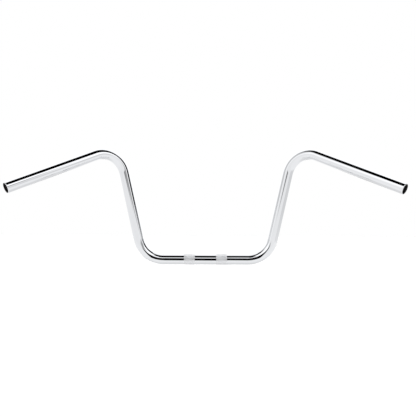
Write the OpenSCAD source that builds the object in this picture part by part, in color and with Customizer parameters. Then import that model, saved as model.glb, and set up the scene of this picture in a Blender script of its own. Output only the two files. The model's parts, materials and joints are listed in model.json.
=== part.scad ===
// Ape hanger handlebar for a motorbike, bent from one length of chromed steel tube.
// The origin lies on the tube's axis at the middle of the clamp section. +X runs along
// the clamp section to the right, the uprights stand in the XZ plane with +Z up, and the
// grips sweep back towards -Y and down.

/* [Tube] */
// Outside diameter of the tube
tube_d = 25.4; // [19:0.1:38]
// Wall thickness of the tube
wall = 2; // [1.2:0.1:4]
// Radius that rounds the outer edge of each cut end
end_round = 1.2; // [0.3:0.1:3]
// Chamfer round the mouth of the bore at each end
mouth_chamfer = 0.4; // [0.1:0.1:1]

/* [Clamp section] */
// Length of the straight middle stretch, from bend to bend
clamp_section = 210; // [130:1:320]
// Distance between the centres of the two knurled bands
band_spacing = 80; // [40:1:100]
// Length of each knurled band
band_length = 26.5; // [10:0.5:38]
// Height of the knurl's crests above the tube
band_height = 0.2; // [0.1:0.05:0.6]
// Length of the slope at each edge of a band
band_slope = 0.5; // [0.2:0.1:2]

/* [Uprights] */
// Angle of each lower bend, which turns the tube up into an upright
lower_bend = 77.06; // [55:0.01:90]
// Radius of the lower bends, to the tube's axis
lower_bend_r = 64; // [40:1:110]
// Straight length of each upright, from bend to bend
upright_length = 171; // [40:1:400]

/* [Grips] */
// Angle of each upper bend, which turns the tube out and down into a grip
upper_bend = 102.94; // [60:0.01:130]
// Radius of the upper bends, to the tube's axis
upper_bend_r = 54; // [40:1:110]
// Turn of the upper bend about the upright: 180 is straight outwards, less sweeps back
bend_turn = 142.8; // [110:0.1:180]
// Straight length of each grip, from its bend to the cut end
grip_length = 234; // [100:1:300]

/* [Hidden] */

$fn = 96;
chrome = [0.78, 0.79, 0.81];

tube_r = tube_d / 2;
bore_r = tube_r - wall;
// The end's edges never take more than the wall has
edge_round = min(end_round, 0.6 * wall);
edge_chamfer = min(mouth_chamfer, 0.3 * wall);
// Length by which the bore's cutter runs past each cut end
cut_past = 2;
// Depth by which each band's ring reaches into the wall
band_root = wall / 2;
// Angle by which a bend is turned past its end before it is cut square
overturn = 5;

// Round bar along +X, starting at the origin
module straight(r, length) {
    rotate([0, 90, 0]) cylinder(r = r, h = length);
}

// Round bar bent from +X towards +Z, starting at the origin. It is turned a little too far
// and cut square in the next stretch's own place, so that the two meet face to face.
module bend(r, bend_r, angle) {
    difference() {
        translate([0, 0, bend_r]) rotate([90, 0, 0]) rotate([0, 0, -90])
            rotate_extrude(angle = angle + overturn) translate([bend_r, 0]) circle(r);
        after_bend(bend_r, angle) translate([0, -2 * r, -2 * r]) cube(4 * r);
    }
}

// Carries what follows a bend round to the bend's far end
module after_bend(bend_r, angle) {
    translate([0, 0, bend_r]) rotate([0, -angle, 0]) translate([0, 0, -bend_r]) children();
}

// Carries what follows a straight to its far end
module after_straight(length) {
    translate([length, 0, 0]) children();
}

// Right arm of the bar from the clamp section up to the start of the grip, at radius r.
// The children are drawn at the grip's start, along its axis.
module arm(r) {
    after_straight(clamp_section / 2) {
        bend(r, lower_bend_r, lower_bend);
        after_bend(lower_bend_r, lower_bend) {
            straight(r, upright_length);
            after_straight(upright_length) rotate([bend_turn, 0, 0]) {
                bend(r, upper_bend_r, upper_bend);
                after_bend(upper_bend_r, upper_bend) children();
            }
        }
    }
}

// The clamp section with an arm at each end
module both_arms(r) {
    translate([-clamp_section / 2, 0, 0]) straight(r, clamp_section);
    for (side = [0, 1]) mirror([side, 0, 0]) arm(r) children();
}

// Solid grip along +X, its cut end's outer edge rounded
module grip_blank() {
    rotate([0, 90, 0]) rotate_extrude() {
        square([tube_r, grip_length - edge_round]);
        square([tube_r - edge_round, grip_length]);
        translate([tube_r - edge_round, grip_length - edge_round]) circle(edge_round);
    }
}

// What is cut from a grip: its bore and the chamfer at the bore's mouth
module grip_bore() {
    straight(bore_r, grip_length + cut_past);
    after_straight(grip_length - edge_chamfer) rotate([0, 90, 0])
        cylinder(r1 = bore_r, r2 = bore_r + edge_chamfer + cut_past, h = edge_chamfer + cut_past);
}

// Raised ring that the knurl stands on, centred on the origin, with a slope at each edge
module knurled_band() {
    half = band_length / 2;
    crest = tube_r + band_height;
    rotate([0, 90, 0]) rotate_extrude()
        polygon([[tube_r - band_root, -half], [tube_r, -half], [crest, -half + band_slope],
                 [crest, half - band_slope], [tube_r, half], [tube_r - band_root, half]]);
}

// The whole bar: one hollow tube from end to end
module handlebar() {
    color(chrome) {
        difference() {
            both_arms(tube_r) grip_blank();
            both_arms(bore_r) grip_bore();
        }
        for (side = [-1, 1]) translate([side * band_spacing / 2, 0, 0]) knurled_band();
    }
}

handlebar();
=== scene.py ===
import json
import math
import bpy
from mathutils import Matrix, Vector


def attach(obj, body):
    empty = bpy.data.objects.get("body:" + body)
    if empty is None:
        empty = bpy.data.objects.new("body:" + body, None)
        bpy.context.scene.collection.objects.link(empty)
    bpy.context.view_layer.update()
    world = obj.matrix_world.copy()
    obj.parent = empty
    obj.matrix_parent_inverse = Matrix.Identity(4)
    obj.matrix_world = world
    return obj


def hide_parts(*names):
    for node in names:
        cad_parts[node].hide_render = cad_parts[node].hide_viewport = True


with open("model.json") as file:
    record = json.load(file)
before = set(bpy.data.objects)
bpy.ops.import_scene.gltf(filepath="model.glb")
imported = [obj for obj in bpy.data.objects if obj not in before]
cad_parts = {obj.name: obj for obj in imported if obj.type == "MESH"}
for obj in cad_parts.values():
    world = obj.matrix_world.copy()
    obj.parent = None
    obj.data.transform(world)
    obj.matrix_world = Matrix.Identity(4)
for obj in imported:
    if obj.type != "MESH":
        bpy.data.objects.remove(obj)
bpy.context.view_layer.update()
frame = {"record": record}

# The tube wall. The real bar starts as one straight length of drawn steel tube, cut square,
# with the outer edge of each cut end rounded and the bore's mouth chamfered in a lathe.
# Here its long section is drawn from end to end and then turned round the tube's axis.
mounts = {m["name"]: m for m in frame["record"]["mounts"]}
grip_seat = mounts["right_grip_seat"]
grip_axis = Vector(grip_seat["axis"])
tube_r = grip_seat["dims"]["r_mm"] / 1000
bore_r = mounts["right_end_bore"]["dims"]["r_mm"] / 1000
end_round = 0.0012
mouth_chamfer = 0.0004
round_steps = 6
tube_sides = 120

# The axis of the right arm runs straight from corner to corner, and each corner is bent
# round. The upper corner is where the grip's axis meets the plane of the uprights.
lower_bend = math.radians(77.06)
lower_bend_r = 0.064
upper_bend_r = 0.054
grip_end = Vector(grip_seat["pos_m"]) + grip_axis * (grip_seat["dims"]["length_mm"] / 2000 + end_round)
upper_corner = grip_end - grip_axis * (grip_end.y / grip_axis.y)
lower_corner = Vector((upper_corner.x - upper_corner.z / math.tan(lower_bend), 0, 0))
upper_bend = (upper_corner - lower_corner).angle(grip_axis)
lower_tangent = lower_bend_r * math.tan(lower_bend / 2)
upper_tangent = upper_bend_r * math.tan(upper_bend / 2)

# Distances along the axis, from the middle of the bar, at which the right arm's bends
# start and end
lower_start = lower_corner.x - lower_tangent
lower_end = lower_start + lower_bend_r * lower_bend
upper_start = lower_end + (upper_corner - lower_corner).length - lower_tangent - upper_tangent
upper_end = upper_start + upper_bend_r * upper_bend
cut_end = upper_end + (grip_end - upper_corner).length - upper_tangent

# The knurled bands stand 80 mm apart, and the clamp's mount spans them from crest to crest
band_slope = 0.0005
band_spacing = 0.080
band_length = mounts["riser_clamp"]["dims"]["length_mm"] / 1000 + 2 * band_slope - band_spacing
inner_edge = (band_spacing - band_length) / 2
outer_edge = (band_spacing + band_length) / 2


def bend_stations(step_degrees, hold=0.002):
    """Distances along the right arm at which the wall has a ring of points: one at each step
    round a bend, and one a short hold before and after it."""
    found = []
    for start, end, angle in ((lower_start, lower_end, lower_bend), (upper_start, upper_end, upper_bend)):
        steps = round(math.degrees(angle) / step_degrees)
        found += [start - hold]
        found += [start + (end - start) * i / steps for i in range(steps + 1)]
        found += [end + hold]
    return found


def turned_end():
    """The section of the cut end as (depth under the outer face, distance along the arm)."""
    centre = cut_end - end_round
    points = [(0, centre - end_round / 3)]
    for i in range(round_steps + 1):
        turn = math.pi / 2 * i / round_steps
        points.append((-end_round * (1 - math.cos(turn)), centre + end_round * math.sin(turn)))
    points.append((bore_r + mouth_chamfer - tube_r, cut_end))
    points.append((bore_r - tube_r, cut_end - mouth_chamfer))
    points.append((bore_r - tube_r, cut_end - 2 * mouth_chamfer))
    return points


def wall_section():
    """One wire from the right band's outer edge round both cut ends to the left band's, and one
    between the bands."""
    right = [(0, outer_edge), (0, outer_edge + band_slope)] + [(0, s) for s in bend_stations(2)]
    right += turned_end()
    right += [(bore_r - tube_r, s) for s in reversed(bend_stations(4))]
    left = [(depth, -s) for depth, s in reversed(right)]
    middle = [(0, s) for s in (-inner_edge, band_slope - inner_edge, inner_edge - band_slope, inner_edge)]
    wires = (right + left, middle)
    points = [(depth, s, 0) for wire in wires for depth, s in wire]
    edges = [(i, i + 1) for i in range(len(points) - 1) if i + 1 != len(wires[0])]
    mesh = bpy.data.meshes.new("wall_section")
    mesh.from_pydata(points, edges, [])
    return mesh


def geometry_tree(name, inputs):
    """Starts a Geometry Nodes tree that takes a mesh and the named inputs."""
    tree = bpy.data.node_groups.new(name, "GeometryNodeTree")
    tree.interface.new_socket("Geometry", in_out="INPUT", socket_type="NodeSocketGeometry")
    for label, kind in inputs.items():
        tree.interface.new_socket(label, in_out="INPUT", socket_type="NodeSocket" + kind)
    tree.interface.new_socket("Geometry", in_out="OUTPUT", socket_type="NodeSocketGeometry")
    return tree, tree.nodes.new("NodeGroupInput").outputs, tree.nodes.new("NodeGroupOutput").inputs[0]


def add(tree, kind, plugs, **settings):
    """Adds a node, sets its properties, and fills its sockets with values or links."""
    made = tree.nodes.new(kind)
    for label, value in settings.items():
        setattr(made, label, value)
    for socket, value in plugs.items():
        if isinstance(value, bpy.types.NodeSocket):
            tree.links.new(value, made.inputs[socket])
        else:
            made.inputs[socket].default_value = value
    return made


turning, given, result = geometry_tree("turned_wall", {
    "Tube radius": "Float",
    "Sides": "Int",
    "Plating": "Material",
})
section = add(turning, "GeometryNodeMeshToCurve", {"Mesh": given["Geometry"]})
lathe = add(turning, "GeometryNodeCurvePrimitiveCircle",
            {"Resolution": given["Sides"], "Radius": given["Tube radius"]})
wall = add(turning, "GeometryNodeCurveToMesh",
           {"Curve": lathe.outputs["Curve"], "Profile Curve": section.outputs["Curve"]})
solid = add(turning, "GeometryNodeRealizeInstances", {"Geometry": wall.outputs["Mesh"]})
plated = add(turning, "GeometryNodeSetMaterial",
             {"Geometry": solid.outputs[0], "Material": given["Plating"]})
turning.links.new(plated.outputs[0], result)


# Bright chrome, the finish of the whole outside: steel polished to a mirror, then plated with
# nickel and chromium. Under the gloss lie faint rings from the polishing belt, and the
# plating is a little uneven in colour and smoothness from place to place.
def number(tree, operation, first, second=0.0):
    """A Math node's result."""
    return add(tree, "ShaderNodeMath", {0: first, 1: second}, operation=operation).outputs[0]


def vector_of(tree, x, y, z):
    """A vector made of three values."""
    return add(tree, "ShaderNodeCombineXYZ", {0: x, 1: y, 2: z}).outputs[0]


def ramp(tree, value, start, end, low=0.0, high=1.0, shape="LINEAR"):
    """Goes from low to high while the value goes from start to end, and no further."""
    return add(tree, "ShaderNodeMapRange", {0: value, 1: start, 2: end, 3: low, 4: high},
               interpolation_type=shape).outputs[0]


def blend_colour(tree, share, first, second):
    """The first colour where the share is 0, and the second where it is 1."""
    return add(tree, "ShaderNodeMix", {0: share, 6: first, 7: second}, data_type="RGBA").outputs[2]


polish = bpy.data.node_groups.new("polish", "ShaderNodeTree")
for label in ("Ring spacing", "Ring depth", "Patch size"):
    polish.interface.new_socket(label, in_out="INPUT", socket_type="NodeSocketFloat")
polish.interface.new_socket("Haze", in_out="OUTPUT", socket_type="NodeSocketFloat")
polish.interface.new_socket("Cloud", in_out="OUTPUT", socket_type="NodeSocketFloat")
polish.interface.new_socket("Normal", in_out="OUTPUT", socket_type="NodeSocketVector")
polish_in = polish.nodes.new("NodeGroupInput").outputs
polish_out = polish.nodes.new("NodeGroupOutput").inputs
place = add(polish, "ShaderNodeAttribute", {}, attribute_name="blank").outputs["Vector"]

# The noise is drawn out into rings, quick along the tube and slow across it
slow_scale = 30.0
ring_scale = number(polish, "DIVIDE", 1.0, polish_in["Ring spacing"])
stretch = vector_of(polish, slow_scale, slow_scale, ring_scale)
along = add(polish, "ShaderNodeVectorMath", {0: place, 1: stretch}, operation="MULTIPLY").outputs[0]
rings = add(polish, "ShaderNodeTexNoise",
            {"Vector": along, "Scale": 1.0, "Detail": 3.0, "Roughness": 0.6})
patch_scale = number(polish, "DIVIDE", 1.0, polish_in["Patch size"])
clouds = add(polish, "ShaderNodeTexNoise", {"Vector": place, "Scale": patch_scale, "Detail": 2.0})
relief = add(polish, "ShaderNodeBump",
             {"Height": rings.outputs[0], "Distance": polish_in["Ring depth"], "Strength": 1.0})
haze = number(polish, "MULTIPLY", rings.outputs[0], clouds.outputs[0])
polish.links.new(haze, polish_out["Haze"])
polish.links.new(clouds.outputs[0], polish_out["Cloud"])
polish.links.new(relief.outputs[0], polish_out["Normal"])


def plated_steel(name, metal, spacing, depth, patch, smooth, hazy, dark, light):
    """Chrome plate: a mirror whose colour and roughness vary a little with the polish under it."""
    made = bpy.data.materials.new(name)
    made.use_nodes = True
    tree = made.node_tree
    gloss = tree.nodes["Principled BSDF"]
    gloss.inputs["Metallic"].default_value = metal
    finish = add(tree, "ShaderNodeGroup", {}, node_tree=polish)
    finish.inputs["Ring spacing"].default_value = spacing
    finish.inputs["Ring depth"].default_value = depth
    finish.inputs["Patch size"].default_value = patch
    rough = ramp(tree, finish.outputs["Haze"], 0.1, 0.5, smooth, hazy)
    tint = blend_colour(tree, finish.outputs["Cloud"], dark, light)
    tree.links.new(rough, gloss.inputs["Roughness"])
    tree.links.new(tint, gloss.inputs["Base Color"])
    tree.links.new(finish.outputs["Normal"], gloss.inputs["Normal"])
    return made


# A duller plating tone: on the smooth chrome one end of its uneven colour, on the knurl also the painted
# shade in the valleys
dull_plating_and_valley_shade = (0.76, 0.77, 0.79, 1)
ring_spacing = 0.0004
bright_chrome = plated_steel("bright_chrome", metal=1.0, spacing=ring_spacing, depth=0.0000004,
                             patch=0.022, smooth=0.015, hazy=0.05, dark=dull_plating_and_valley_shade,
                             light=(0.80, 0.81, 0.83, 1))

# The knurled bands, where the risers clamp the bar. Before the tube is bent, a pair of knurling
# wheels presses two bands of small diamonds into the middle of it, and their crests stand
# 0.2 mm proud. The plating over them is satin, and painted shade darkens the valleys.
crest_r = mounts["riser_clamp"]["dims"]["r_mm"] / 1000
knurl_values = {
    "Diamonds round": "Int",
    "Diamonds along": "Int",
    "Tube radius": "Float",
    "Band spacing": "Float",
    "Band length": "Float",
    "Crest height": "Float",
    "Groove depth": "Float",
    "End slope": "Float",
    "Plating": "Material",
}
knurling, given, result = geometry_tree("rolled_knurl", knurl_values)
circumference = number(knurling, "MULTIPLY", given["Tube radius"], 2 * math.pi)
pitch_round = number(knurling, "DIVIDE", circumference, given["Diamonds round"])
pitch_along = number(knurling, "DIVIDE", given["Band length"], given["Diamonds along"])
relief_height = number(knurling, "ADD", given["Crest height"], given["Groove depth"])

# One diamond, a unit wide, long and high: steep flanks, a soft shoulder and a small crest.
# Each step rises by a share of the height and shrinks to a share of the width.
flat = add(knurling, "GeometryNodeMeshCircle", {"Vertices": 4, "Radius": 0.5}, fill_type="NGON")
diamond, top = flat.outputs["Mesh"], True
for rise, shrink in ((0.8, 0.35), (0.2, 0.5)):
    raised = add(knurling, "GeometryNodeExtrudeMesh",
                 {"Mesh": diamond, "Selection": top, "Offset Scale": rise})
    top = raised.outputs["Top"]
    diamond = add(knurling, "GeometryNodeScaleElements",
                  {"Geometry": raised.outputs["Mesh"], "Selection": top, "Scale": shrink}).outputs[0]

# Two lattices laid out flat, the second in the gaps of the first
row_length = number(knurling, "SUBTRACT", circumference, pitch_round)
full_rows = number(knurling, "ADD", given["Diamonds along"], 1.0)
first = add(knurling, "GeometryNodeMeshGrid",
            {"Size X": row_length, "Size Y": given["Band length"],
             "Vertices X": given["Diamonds round"], "Vertices Y": full_rows})
gap_length = number(knurling, "SUBTRACT", given["Band length"], pitch_along)
second = add(knurling, "GeometryNodeMeshGrid",
             {"Size X": row_length, "Size Y": gap_length,
              "Vertices X": given["Diamonds round"], "Vertices Y": given["Diamonds along"]})
half_pitch = number(knurling, "MULTIPLY", pitch_round, 0.5)
moved = add(knurling, "GeometryNodeTransform",
            {"Geometry": second.outputs["Mesh"], "Translation": vector_of(knurling, half_pitch, 0.0, 0.0)})
lattice = add(knurling, "GeometryNodeJoinGeometry", {})
knurling.links.new(first.outputs["Mesh"], lattice.inputs[0])
knurling.links.new(moved.outputs[0], lattice.inputs[0])
diamond_size = vector_of(knurling, pitch_round, pitch_along, relief_height)
pressed = add(knurling, "GeometryNodeInstanceOnPoints",
              {"Points": lattice.outputs[0], "Instance": diamond, "Scale": diamond_size})
sheet = add(knurling, "GeometryNodeRealizeInstances", {"Geometry": pressed.outputs[0]})

# The sheet is cut to the band's length, sloped at its ends, and wrapped round the tube
on_sheet = add(knurling, "GeometryNodeInputPosition", {}).outputs[0]
here = add(knurling, "ShaderNodeSeparateXYZ", {0: on_sheet})
half_band = number(knurling, "MULTIPLY", given["Band length"], 0.5)
share = number(knurling, "DIVIDE", here.outputs[2], relief_height)
cut = number(knurling, "SUBTRACT", half_band, number(knurling, "MULTIPLY", share, given["End slope"]))
below = number(knurling, "MULTIPLY", cut, -1.0)
kept = number(knurling, "MINIMUM", number(knurling, "MAXIMUM", here.outputs[1], below), cut)
to_edge = number(knurling, "SUBTRACT", half_band, number(knurling, "ABSOLUTE", kept))
weld_gap = 0.000002
inside = number(knurling, "GREATER_THAN", to_edge, weld_gap / 2)
sunk = number(knurling, "MULTIPLY", inside, given["Groove depth"])
height = number(knurling, "SUBTRACT", here.outputs[2], sunk)
radius = number(knurling, "ADD", given["Tube radius"], height)
turn = number(knurling, "DIVIDE", here.outputs[0], given["Tube radius"])
wrapped = vector_of(knurling, number(knurling, "MULTIPLY", radius, number(knurling, "COSINE", turn)),
                    number(knurling, "MULTIPLY", radius, number(knurling, "SINE", turn)), kept)
band = add(knurling, "GeometryNodeSetPosition", {"Geometry": sheet.outputs[0], "Position": wrapped})

# Both bands join the wall, and their edges are welded to it
first_band = vector_of(knurling, 0.0, 0.0, number(knurling, "MULTIPLY", given["Band spacing"], -0.5))
next_band = vector_of(knurling, 0.0, 0.0, given["Band spacing"])
centres = add(knurling, "GeometryNodeMeshLine",
              {"Count": 2, "Start Location": first_band, "Offset": next_band})
bands = add(knurling, "GeometryNodeInstanceOnPoints",
            {"Points": centres.outputs[0], "Instance": band.outputs[0]})
both_bands = add(knurling, "GeometryNodeRealizeInstances", {"Geometry": bands.outputs[0]})
marked = add(knurling, "GeometryNodeStoreNamedAttribute",
             {"Geometry": both_bands.outputs[0], "Name": "knurled", "Value": True},
             data_type="BOOLEAN", domain="FACE")
joined = add(knurling, "GeometryNodeJoinGeometry", {})
knurling.links.new(given["Geometry"], joined.inputs[0])
knurling.links.new(marked.outputs[0], joined.inputs[0])
welded = add(knurling, "GeometryNodeMergeByDistance",
             {"Geometry": joined.outputs[0], "Distance": weld_gap})
solid = add(knurling, "GeometryNodeRealizeInstances", {"Geometry": welded.outputs[0]})
knurled = add(knurling, "GeometryNodeInputNamedAttribute", {"Name": "knurled"}, data_type="BOOLEAN")
plated = add(knurling, "GeometryNodeSetMaterial",
             {"Geometry": solid.outputs[0], "Selection": knurled.outputs[0], "Material": given["Plating"]})
knurling.links.new(plated.outputs[0], result)


def from_axis(tree, place):
    """How far a place on the straight tube lies from the tube's axis."""
    flat = add(tree, "ShaderNodeVectorMath", {0: place, 1: (1, 1, 0)}, operation="MULTIPLY").outputs[0]
    return add(tree, "ShaderNodeVectorMath", {0: flat}, operation="LENGTH").outputs["Value"]


# Painted shade in the valleys: the base colour darkens from the crests down into the valleys, by the
# distance from the tube's axis
groove_depth = 0.00008
knurled_chrome = plated_steel("knurled_chrome", metal=0.75, spacing=ring_spacing, depth=0.000004,
                              patch=0.003, smooth=0.30, hazy=0.55, dark=(0.74, 0.75, 0.77, 1),
                              light=(0.98, 0.98, 0.99, 1))
knurl_nodes = knurled_chrome.node_tree
knurl_gloss = knurl_nodes.nodes["Principled BSDF"]
crest_tint = knurl_gloss.inputs["Base Color"].links[0].from_socket
on_blank = add(knurl_nodes, "ShaderNodeAttribute", {}, attribute_name="blank").outputs["Vector"]
crest = ramp(knurl_nodes, from_axis(knurl_nodes, on_blank), tube_r - groove_depth, crest_r)
knurl_nodes.links.new(blend_colour(knurl_nodes, crest, dull_plating_and_valley_shade, crest_tint),
                      knurl_gloss.inputs["Base Color"])

# The bends and the bore. The plated bar's four bends are drawn cold round formers with a mandrel
# inside, so the tube stays round. The plating stops at the rounded edge of each cut end: the flat
# of the cut and the bore are bare steel, with the dark scale of its making.
bending, given, result = geometry_tree("bender", {
    "Lower corner": "Vector",
    "Upper corner": "Vector",
    "Grip end": "Vector",
    "Lower bend radius": "Float",
    "Upper bend radius": "Float",
    "Bend points": "Int",
    "Bare radius": "Float",
    "Bare steel": "Material",
})
corner = add(bending, "GeometryNodeInputIndex", {}).outputs[0]


def per_corner(kind, values):
    """A value for each of the four points of the right arm's axis."""
    pick = add(bending, "GeometryNodeIndexSwitch", {}, data_type=kind)
    while len(pick.index_switch_items) < len(values):
        pick.index_switch_items.new()
    bending.links.new(corner, pick.inputs[0])
    for slot, value in enumerate(values):
        if isinstance(value, bpy.types.NodeSocket):
            bending.links.new(value, pick.inputs[slot + 1])
        else:
            pick.inputs[slot + 1].default_value = value
    return pick.outputs[0]


corners = per_corner("VECTOR", [(0, 0, 0), given["Lower corner"], given["Upper corner"],
                                given["Grip end"]])
bend_radii = per_corner("FLOAT", [0.0, given["Lower bend radius"], given["Upper bend radius"], 0.0])
wire = add(bending, "GeometryNodeMeshLine", {"Count": 4})
placed = add(bending, "GeometryNodeSetPosition", {"Geometry": wire.outputs[0], "Position": corners})
axis = add(bending, "GeometryNodeMeshToCurve", {"Mesh": placed.outputs[0]})
bent = add(bending, "GeometryNodeFilletCurve",
           {"Curve": axis.outputs[0], "Radius": bend_radii, "Count": given["Bend points"]}, mode="POLY")
upright = add(bending, "GeometryNodeSetCurveNormal", {"Curve": bent.outputs[0]}, mode="Z_UP")

blank = add(bending, "GeometryNodeInputPosition", {}).outputs[0]
kept_blank = add(bending, "GeometryNodeStoreNamedAttribute",
                 {"Geometry": given["Geometry"], "Name": "blank", "Value": blank},
                 data_type="FLOAT_VECTOR", domain="POINT")
old = add(bending, "ShaderNodeSeparateXYZ", {0: blank})
side = number(bending, "SIGN", old.outputs[2])
reach = number(bending, "ABSOLUTE", old.outputs[2])
at = add(bending, "GeometryNodeSampleCurve",
         {"Curves": upright.outputs[0], "Length": reach}, mode="LENGTH", use_all_curves=True)
across = add(bending, "ShaderNodeVectorMath", {0: at.outputs["Tangent"], 1: at.outputs["Normal"]},
             operation="CROSS_PRODUCT").outputs[0]


def scaled(vector, amount):
    """A vector times a value."""
    return add(bending, "ShaderNodeVectorMath", {0: vector, "Scale": amount}, operation="SCALE").outputs[0]


def added(first, second):
    """The sum of two vectors."""
    return add(bending, "ShaderNodeVectorMath", {0: first, 1: second}).outputs[0]


offset = added(scaled(at.outputs["Normal"], old.outputs[0]), scaled(across, old.outputs[1]))
right_arm = added(at.outputs["Position"], offset)
mirrored = add(bending, "ShaderNodeVectorMath", {0: right_arm, 1: vector_of(bending, side, 1.0, 1.0)},
               operation="MULTIPLY").outputs[0]
formed = add(bending, "GeometryNodeSetPosition", {"Geometry": kept_blank.outputs[0], "Position": mirrored})
smooth = add(bending, "GeometryNodeSetShadeSmooth", {"Geometry": formed.outputs[0]})
solid = add(bending, "GeometryNodeRealizeInstances", {"Geometry": smooth.outputs[0]})
on_blank = add(bending, "GeometryNodeInputNamedAttribute", {"Name": "blank"},
               data_type="FLOAT_VECTOR").outputs[0]
bare = number(bending, "LESS_THAN", from_axis(bending, on_blank), given["Bare radius"])
lined = add(bending, "GeometryNodeSetMaterial",
            {"Geometry": solid.outputs[0], "Selection": bare, "Material": given["Bare steel"]})
bending.links.new(lined.outputs[0], result)

bare_steel = bpy.data.materials.new("bare_steel")
bare_steel.use_nodes = True
scale_tree = bare_steel.node_tree
scale_shader = scale_tree.nodes["Principled BSDF"]
scale_shader.inputs["Metallic"].default_value = 0.6
scale_place = add(scale_tree, "ShaderNodeTexCoord", {}).outputs["Object"]
scale_spots = add(scale_tree, "ShaderNodeTexNoise",
                  {"Vector": scale_place, "Scale": 400.0, "Detail": 4.0})
scale_colour = blend_colour(scale_tree, scale_spots.outputs[0],
                            (0.008, 0.008, 0.009, 1), (0.03, 0.028, 0.027, 1))
scale_rough = ramp(scale_tree, scale_spots.outputs[0], 0.0, 1.0, 0.45, 0.75)
scale_relief = add(scale_tree, "ShaderNodeBump", {"Height": scale_spots.outputs[0], "Distance": 0.00005})
scale_tree.links.new(scale_colour, scale_shader.inputs["Base Color"])
scale_tree.links.new(scale_rough, scale_shader.inputs["Roughness"])
scale_tree.links.new(scale_relief.outputs[0], scale_shader.inputs["Normal"])


def fit_tree(piece, tree, values):
    """Puts the tree on the piece as a modifier and sets its named inputs."""
    modifier = piece.modifiers.new(tree.name, "NODES")
    modifier.node_group = tree
    for item in tree.interface.items_tree:
        if item.item_type == "SOCKET" and item.name in values:
            modifier[item.identifier] = values[item.name]


# The three trees work on the blank in the order of the real making
maker = bpy.data.objects.new("bar_being_made", wall_section())
bpy.context.scene.collection.objects.link(maker)
fit_tree(maker, turning, {"Tube radius": tube_r, "Sides": tube_sides, "Plating": bright_chrome})
fit_tree(maker, knurling, {
    "Diamonds round": tube_sides // 2,
    "Diamonds along": 20,
    "Tube radius": tube_r,
    "Band spacing": band_spacing,
    "Band length": band_length,
    "Crest height": crest_r - tube_r,
    "Groove depth": groove_depth,
    "End slope": 0.00015,
    "Plating": knurled_chrome,
})
fit_tree(maker, bending, {
    "Lower corner": lower_corner[:],
    "Upper corner": upper_corner[:],
    "Grip end": grip_end[:],
    "Lower bend radius": lower_bend_r,
    "Upper bend radius": upper_bend_r,
    "Bend points": 128,
    "Bare radius": tube_r - end_round,
    "Bare steel": bare_steel,
})
finished = bpy.data.meshes.new_from_object(maker.evaluated_get(bpy.context.evaluated_depsgraph_get()))
bpy.data.objects.remove(maker)
finished.name = "bent_bar"

# The turned wall starts with an empty material slot, which is dropped
for index in reversed(range(len(finished.materials))):
    if finished.materials[index] is None:
        finished.materials.pop(index=index)
bar = bpy.data.objects.new("bent_bar", finished)
bpy.context.scene.collection.objects.link(bar)
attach(bar, "root")
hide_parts("handlebar")

# The studio, a white room. A chromed bar shows only what stands round it, so big softboxes fill
# its reflection and black cards draw its dark lines. The cards show in reflections alone.
soft_card = bpy.data.node_groups.new("soft_card", "ShaderNodeTree")
for label in ("Across", "Up", "Left", "Right", "Bottom", "Top", "Soft across", "Soft up"):
    soft_card.interface.new_socket(label, in_out="INPUT", socket_type="NodeSocketFloat")
soft_card.interface.new_socket("Mask", in_out="OUTPUT", socket_type="NodeSocketFloat")
card_in = soft_card.nodes.new("NodeGroupInput").outputs
card_out = soft_card.nodes.new("NodeGroupOutput").inputs


def blend(tree, share, first, second):
    """The first value where the share is 0, and the second where it is 1."""
    return add(tree, "ShaderNodeMix", {0: share, 2: first, 3: second}).outputs[0]


def soft_edge(value, edge, softness):
    """Rises from 0 to 1 as the value passes the edge."""
    low = number(soft_card, "SUBTRACT", edge, softness)
    high = number(soft_card, "ADD", edge, softness)
    return ramp(soft_card, value, low, high, shape="SMOOTHSTEP")


def between(value, low, high, softness):
    """1 between two soft edges and 0 outside them."""
    past_low = soft_edge(value, low, softness)
    not_past_high = number(soft_card, "SUBTRACT", 1.0, soft_edge(value, high, softness))
    return number(soft_card, "MULTIPLY", past_low, not_past_high)


wide = between(card_in["Across"], card_in["Left"], card_in["Right"], card_in["Soft across"])
tall = between(card_in["Up"], card_in["Bottom"], card_in["Top"], card_in["Soft up"])
soft_card.links.new(number(soft_card, "MULTIPLY", wide, tall), card_out["Mask"])


def card_mask(tree, across, up, left, right, bottom, top, soft_across, soft_up):
    """Where a soft-edged card stands, in any pair of coordinates."""
    return add(tree, "ShaderNodeGroup",
               {"Across": across, "Up": up, "Left": left, "Right": right, "Bottom": bottom, "Top": top,
                "Soft across": soft_across, "Soft up": soft_up}, node_tree=soft_card).outputs["Mask"]


world = bpy.data.worlds.new("studio")
bpy.context.scene.world = world
world.use_nodes = True
room = world.node_tree
seen = add(room, "ShaderNodeSeparateXYZ", {0: add(room, "ShaderNodeTexCoord", {}).outputs["Generated"]})
towards = number(room, "MULTIPLY", seen.outputs[1], -1.0)
azimuth = number(room, "DEGREES", number(room, "ARCTAN2", seen.outputs[0], towards))
elevation = number(room, "DEGREES", number(room, "ARCSINE", seen.outputs[2]))
high = number(room, "MAXIMUM", seen.outputs[2], 0.001)
ceiling_x = number(room, "DIVIDE", seen.outputs[0], high)
ceiling_y = number(room, "DIVIDE", seen.outputs[1], high)

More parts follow.
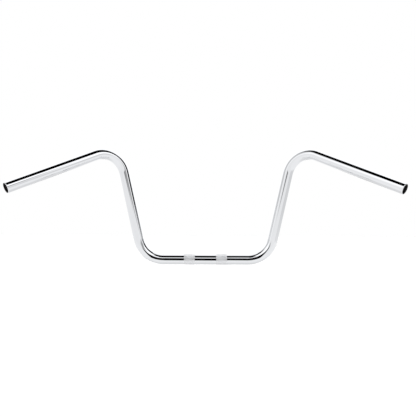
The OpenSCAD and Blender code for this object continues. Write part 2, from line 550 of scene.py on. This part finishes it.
# Each wall card's left, right, bottom and top in degrees, seen from the bar: azimuth 0 is the
# camera's side and grows to the right. Then its edges' softness and its brightness.
wall_cards = {
    "front wall": (-142, 132, -4, 20, 3, 3, 1.0),
    "left softbox": (-102, -57, 10, 60, 3, 10, 1.26),
    "right softbox": (24, 96, 10, 60, 3, 2.5, 1.4),
    "front softbox": (-29, 29, 15, 42, 3, 2.5, 1.4),
    "camera arm": (-26, 19, 8.5, 14.5, 3, 2.5, 0.13),
    "camera stand": (17, 57, 11, 27, 6, 2.5, 0.41),
    "left wall": (-117, -68, 12, 53, 3, 6, 0.70),
    "right black card": (70, 117, 10, 41, 3, 7, 0.07),
    "left hood over the camera": (-16, 1.5, 38.5, 75, 1.5, 2.5, 0.0),
    "right hood over the camera": (-1.5, 21, 43.5, 75, 1.5, 2.5, 0.0),
}
light = 1.3  # where no card stands
for left, right, bottom, top, soft_across, soft_up, brightness in wall_cards.values():
    mask = card_mask(room, azimuth, elevation, left, right, bottom, top, soft_across, soft_up)
    light = blend(room, mask, light, brightness)

# The black card overhead, in metres of ceiling for each metre of height above the bar
mask = card_mask(room, ceiling_x, ceiling_y, left=-0.87, right=3.8, bottom=-0.60, top=0.24,
                 soft_across=0.35, soft_up=0.02)
above = number(room, "GREATER_THAN", seen.outputs[2], 0.0)
light = blend(room, number(room, "MULTIPLY", mask, above), light, 0.0)

# What the camera sees is plain white, and what lights the floor is plain too
path = add(room, "ShaderNodeLightPath", {})
mirrored = number(room, "MAXIMUM", path.outputs["Is Glossy Ray"], path.outputs["Is Transmission Ray"])
plain = blend(room, path.outputs["Is Camera Ray"], 0.6, 1.0)
room_light = blend(room, mirrored, plain, light)
room.links.new(room_light, room.nodes["Background"].inputs["Color"])

# A pale floor lies well below the bar, which is held at its clamp section. In the chrome it
# shows a painted shadow, darker under the bar and behind it, and a faint painted brightening round that.
floor_drop = 0.45
bpy.ops.mesh.primitive_plane_add(size=60, location=(0, 0, -floor_drop))
floor = bpy.context.object
floor.name = "floor"
floor_paint = bpy.data.materials.new("floor_paint")
floor_paint.use_nodes = True
floor.data.materials.append(floor_paint)
paint = floor_paint.node_tree
shade = paint.nodes["Principled BSDF"]
shade.inputs["Base Color"].default_value = (0.8, 0.8, 0.8, 1)
shade.inputs["Roughness"].default_value = 0.9
shade.inputs["Specular IOR Level"].default_value = 0.0
shade.inputs["Emission Color"].default_value = (1, 1, 1, 1)
shade.inputs["Emission Strength"].default_value = 0.14
# Seen in the chrome, the floor has a painted shadow round a point behind the bar, a faint painted
# brightening beyond it, and plain white far off
spot = add(paint, "ShaderNodeTexCoord", {}).outputs["Object"]
painted_shadow_centre = (0, 0.46, 0)
from_centre = add(paint, "ShaderNodeVectorMath", {0: spot, 1: painted_shadow_centre},
                  operation="DISTANCE").outputs["Value"]
painted_shadow_ramp = ramp(paint, from_centre, 0.32, 0.79, 0.86, 1.04, "SMOOTHSTEP")
far_off = ramp(paint, from_centre, 1.5, 4.0, shape="SMOOTHSTEP")
painted_shadow_and_light = blend(paint, far_off, painted_shadow_ramp, 1.0)
reflected = add(paint, "ShaderNodeEmission", {"Color": painted_shadow_and_light, "Strength": 1.0})
floor_path = add(paint, "ShaderNodeLightPath", {})
in_metal = number(paint, "MAXIMUM", floor_path.outputs["Is Glossy Ray"],
                  floor_path.outputs["Is Transmission Ray"])
floor_face = add(paint, "ShaderNodeMixShader", {0: in_metal, 1: shade.outputs[0], 2: reflected.outputs[0]})
paint.links.new(floor_face.outputs[0], paint.nodes["Material Output"].inputs["Surface"])

# A soft lamp overhead lights what isn't metal, and the chrome doesn't show it
sun_data = bpy.data.lights.new("soft_overhead", "SUN")
sun_data.energy = 1.75
sun_data.angle = math.radians(60)
sun = bpy.data.objects.new("soft_overhead", sun_data)
bpy.context.scene.collection.objects.link(sun)
sun.rotation_euler = (math.radians(-12), math.radians(10), 0)
sun.visible_glossy = False


def reflected_board(name, centre, turn, width, height, softness, brightness):
    """A card with soft edges, seen in reflections only."""
    bpy.ops.mesh.primitive_plane_add(size=1, location=centre, rotation=turn)
    board = bpy.context.object
    board.name = name
    board.scale = (width, height, 1)
    board.visible_camera = False
    board.visible_diffuse = False
    board.visible_shadow = False
    made = bpy.data.materials.new(name)
    made.use_nodes = True
    board.data.materials.append(made)
    tree = made.node_tree
    tree.nodes.remove(tree.nodes["Principled BSDF"])
    here = add(tree, "ShaderNodeSeparateXYZ", {0: add(tree, "ShaderNodeTexCoord", {}).outputs["Object"]})
    soft_across = softness / width
    soft_up = softness / height
    mask = card_mask(tree, here.outputs[0], here.outputs[1], soft_across - 0.5, 0.5 - soft_across,
                     soft_up - 0.5, 0.5 - soft_up, soft_across, soft_up)
    face = add(tree, "ShaderNodeEmission", {"Color": (1, 1, 1, 1), "Strength": brightness})
    clear = add(tree, "ShaderNodeBsdfTransparent", {})
    edge = add(tree, "ShaderNodeMixShader", {0: mask, 1: clear.outputs[0], 2: face.outputs[0]})
    tree.links.new(edge.outputs[0], tree.nodes["Material Output"].inputs["Surface"])


def facing_board(name, left, right, bottom, top, distance, softness, brightness):
    """A board that stands upright before the bar, or behind it where its distance is positive."""
    reflected_board(name, ((left + right) / 2, distance, (bottom + top) / 2), (math.pi / 2, 0, 0),
                    right - left, top - bottom, softness, brightness)


# Black flags stand close in front of the clamp section and the lower bends. Before the bands
# they leave gaps, which their soft edges lap a little.
flag_distance = -0.0227
flag_edge = 0.0005
facing_board("left_flag", -0.104, flag_edge - outer_edge, -0.0075, 0.0090, flag_distance, flag_edge, 0.0)
facing_board("middle_flag", -inner_edge - flag_edge, inner_edge + flag_edge, -0.0075, 0.0086,
             flag_distance, flag_edge, 0.0)
facing_board("right_flag", outer_edge - flag_edge, 0.104, -0.0050, 0.0104, flag_distance, flag_edge, 0.0)
facing_board("left_bend_flag", -0.1605, -0.100, -0.0306, 0.0368, -0.0757, 0.003, 0.0)
facing_board("right_bend_flag", 0.100, 0.1555, -0.0236, 0.0438, -0.0757, 0.003, 0.0)

# In the gap before each band stands a grey flag, and a white card above it lights the crests
for name, centre in (("left_band", -band_spacing / 2), ("right_band", band_spacing / 2)):
    reach = band_length / 2 - flag_edge
    facing_board(name + "_flag", centre - reach, centre + reach, -0.0067, 0.0086,
                 flag_distance, flag_edge, 0.55)
    reflected_board(name + "_card", (centre, -0.005, 0.0195), (0, 0, 0), band_length, 0.022, 0.002, 1.05)

# A narrow white card hangs just above the clamp section and ends its black line at the top, and
# a large grey board stands far off on the right
reflected_board("clamp_card", (0, -0.0030, 0.0210), (0, 0, 0.0056), 0.26, 0.013, 0.001, 1.2)
reflected_board("side_board", (1.5, 0.21, 0.095), (math.pi / 2, 0, math.pi / 2), 3.5, 1.07, 0.2, 0.80)

# Two dark boards stand behind the bar, below the line of the camera, for its views from the back
facing_board("left_back_board", -0.62, -0.34, -0.38, -0.02, 1.3, 0.03, 0.05)
facing_board("right_back_board", 0.34, 0.62, -0.38, -0.02, 1.3, 0.03, 0.05)

# The camera stands where the photograph was taken from, turned and tilted a very little
bpy.context.scene.view_settings.view_transform = "Standard"
camera_data = bpy.data.cameras.new("camera")
camera = bpy.data.objects.new("camera", camera_data)
bpy.context.scene.collection.objects.link(camera)
bpy.context.scene.camera = camera
sensor_width = 36
image_pixels = 416
focal_pixels = 522.801
camera_data.sensor_width = sensor_width
camera_data.lens = sensor_width * focal_pixels / image_pixels
camera_place = Vector((0.028208, -1.310911, 0.080625))
yaw, pitch, roll = -0.0172001, 0.036406, 0.0044173
forward = Vector((math.sin(yaw) * math.cos(pitch), math.cos(yaw) * math.cos(pitch), math.sin(pitch)))
aim = forward.to_track_quat("-Z", "Y").to_matrix().to_4x4()
camera.matrix_world = Matrix.Translation(camera_place) @ aim @ Matrix.Rotation(roll, 4, "Z")
